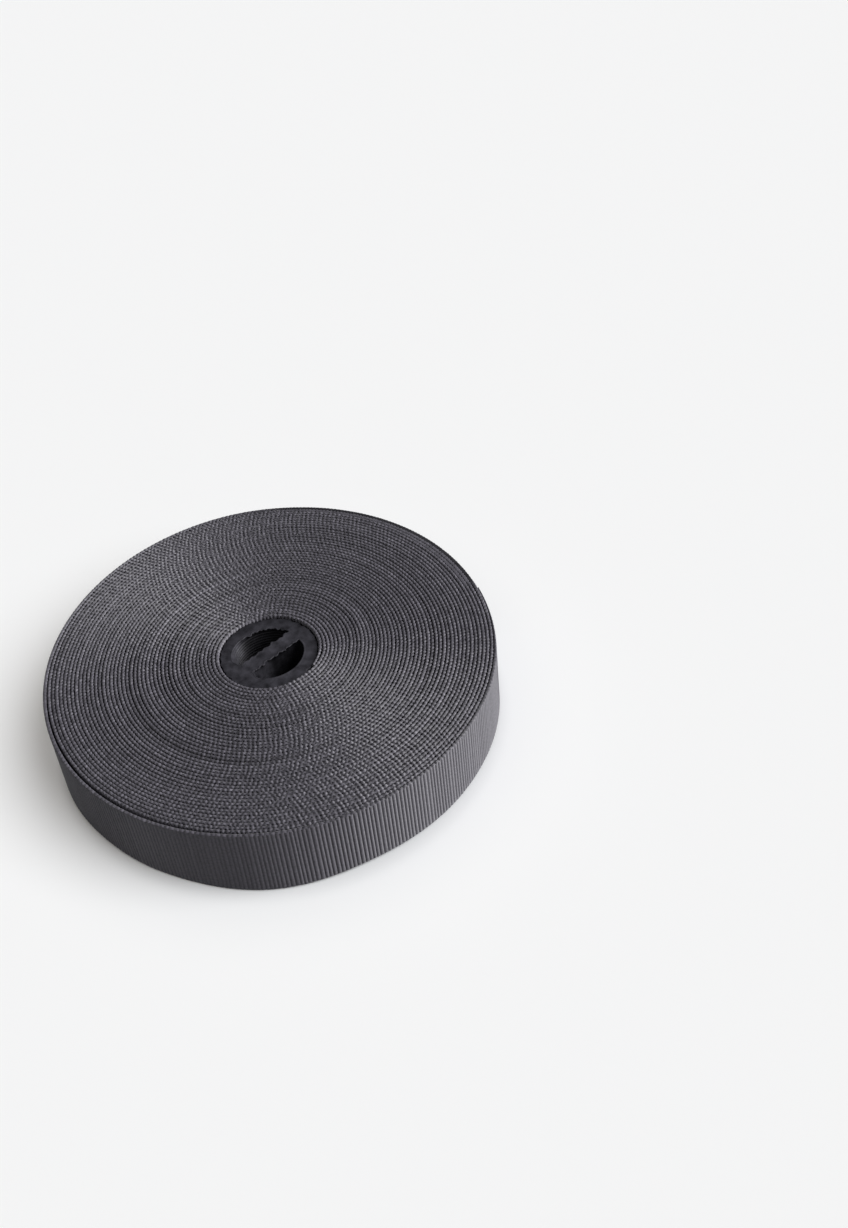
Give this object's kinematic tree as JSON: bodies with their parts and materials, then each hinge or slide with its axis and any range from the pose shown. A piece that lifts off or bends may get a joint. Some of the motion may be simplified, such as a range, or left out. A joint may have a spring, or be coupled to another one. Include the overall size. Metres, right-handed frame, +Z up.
{
  "type": "roll of grosgrain tape",
  "caption": "Flat-wound roll of narrow cross-ribbed grosgrain tape on a small barred core, lying on its face.",
  "frame": {"origin": "centre of the face the roll lies on, at the winding axis", "axes": "+Z up along the winding axis, +X along the bar across the core"},
  "size_m": [0.1157, 0.1157, 0.02],
  "materials": {
    "tape": "matte charcoal grosgrain, fine cross ribs about 1 mm apart, corded edges",
    "core": "matte dark grey moulding, a little darker than the tape, rough trimmed edges beside the bar"
  },
  "bodies": {
    "root": {"tape_roll": "tape", "core": "core"}
  },
  "joints": []
}
